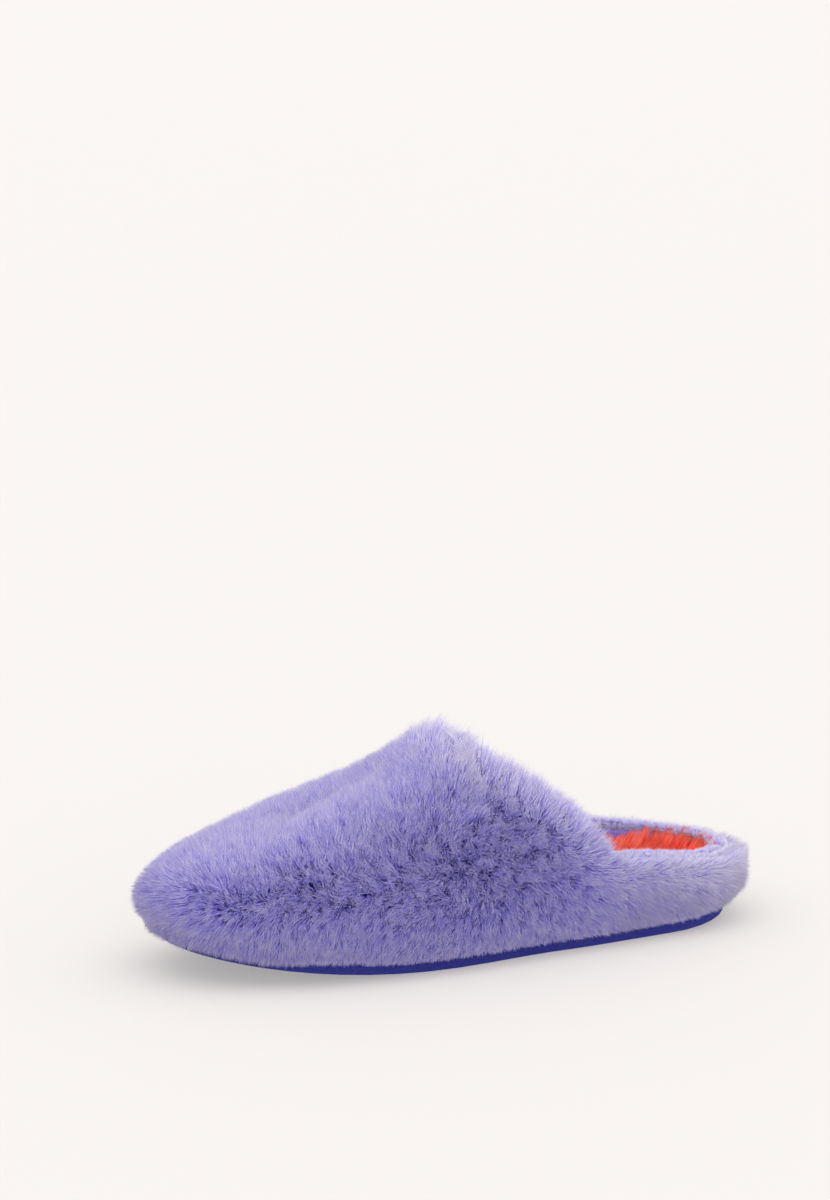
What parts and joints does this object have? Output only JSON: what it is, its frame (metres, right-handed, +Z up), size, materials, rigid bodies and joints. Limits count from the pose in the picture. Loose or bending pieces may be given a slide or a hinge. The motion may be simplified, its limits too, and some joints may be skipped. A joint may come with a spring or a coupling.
{
  "type": "slipper",
  "caption": "Slip-on house slipper for a left foot, with a closed toe of deep faux fur, a low padded fur heel rim, a fur sock and a thin flat foam sole.",
  "frame": {"origin": "middle of the whole slipper's footprint, on the floor it stands on", "axes": "+Z up, -Y towards the toe, +Y towards the heel, +X towards the outer side of the left foot"},
  "size_m": [0.1008, 0.268, 0.0925],
  "materials": {
    "indigo_sole": "matte, fine speckle",
    "felt": "matte felt",
    "board": "matte fibre board",
    "foam": "matte open-cell foam",
    "gel_pad": "matte soft rubber",
    "coral_fur": "soft pile",
    "lavender_fur": "deep soft pile",
    "stiffener": "matte sheet",
    "coral_lining": "short pile",
    "lavender_lining": "soft pile",
    "binding": "matte woven tape",
    "thread": "matte spun thread",
    "seam_fur": "pale pile at the seam"
  },
  "bodies": {
    "root": {"outsole": "indigo_sole", "bottom_filler": "felt", "insole_board": "board", "footbed_foam": "foam", "heel_pad": "gel_pad", "insole_fur": "coral_fur", "vamp_fur": "lavender_fur", "vamp_foam": "foam", "toe_puff": "stiffener", "vamp_lining": "coral_lining", "throat_binding": "binding", "throat_stitches": "thread", "heel_fur": "lavender_fur", "heel_counter": "stiffener", "heel_foam": "foam", "heel_lining": "lavender_lining", "heel_binding": "binding", "heel_stitches": "thread", "side_seam_outer": "seam_fur", "side_seam_inner": "seam_fur"}
  },
  "joints": []
}
